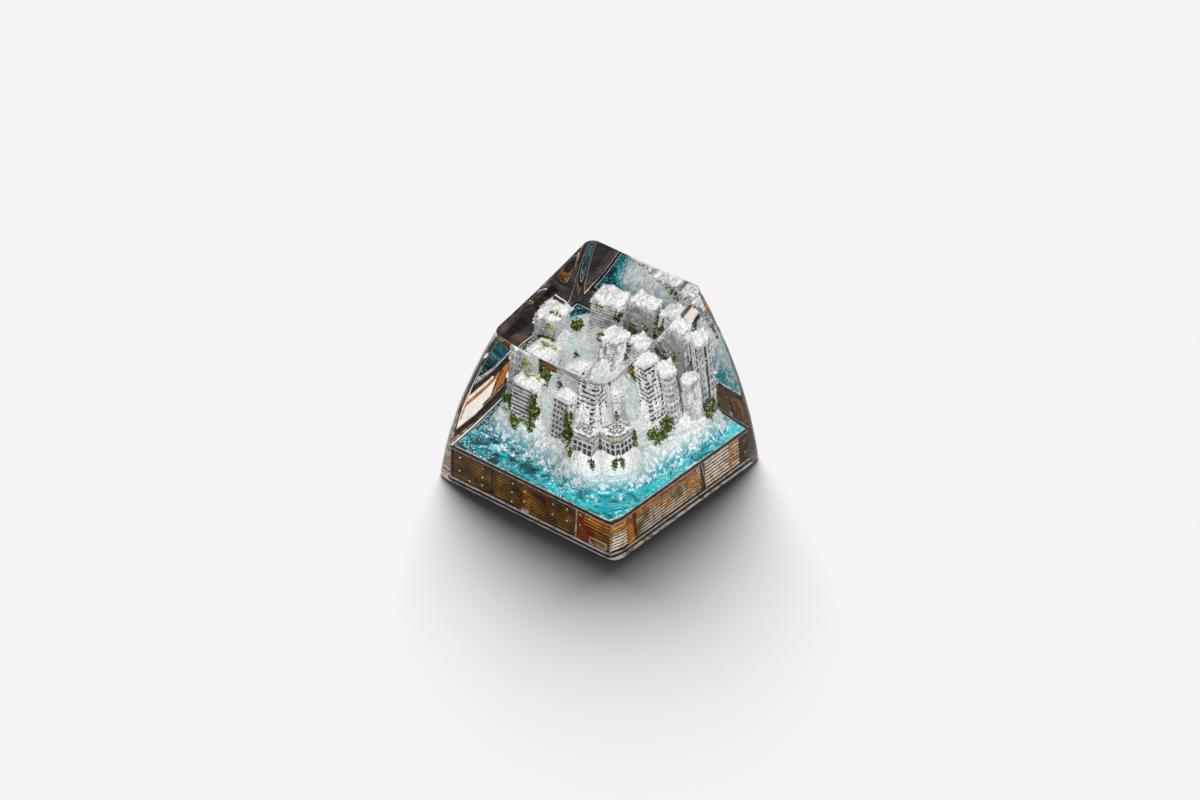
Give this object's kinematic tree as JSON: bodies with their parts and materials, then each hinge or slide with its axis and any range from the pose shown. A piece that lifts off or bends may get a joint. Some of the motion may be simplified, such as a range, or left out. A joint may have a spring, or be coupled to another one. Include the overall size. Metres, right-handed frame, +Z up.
{
  "type": "artisan keycap",
  "caption": "Clear resin keycap with a sloped, dished top over a snowy miniature city, a turquoise sea and a rusty plated tray, with a cross socket below to press onto a key switch.",
  "frame": {"origin": "centre of the cap's box on the plane of its foot", "axes": "+X along the front wall to the right, +Y from the low front to the high back of the top, +Z up from the foot"},
  "size_m": [0.0184, 0.0184, 0.0162],
  "materials": {
    "clear_resin": "polished clear resin",
    "rusted_plate": "rusty, riveted",
    "stem_plastic": "satin",
    "sea_resin": "glossy, tinted",
    "snow": "powdery",
    "moss": "fibrous",
    "facade": "weathered paint"
  },
  "bodies": {
    "root": {"clear_resin": "clear_resin", "rusted_base": "rusted_plate", "stem_post": "stem_plastic", "sea": "sea_resin", "snow_island": "snow", "roof_snow": "snow", "moss": "moss", "slab_block": "facade", "west_block": "facade", "grid_tower": "facade", "corner_block": "facade", "central_tower": "facade", "round_tower": "facade", "east_tower": "facade", "high_tower": "facade", "long_block": "facade", "rear_block": "facade", "grey_block": "facade"}
  },
  "joints": []
}
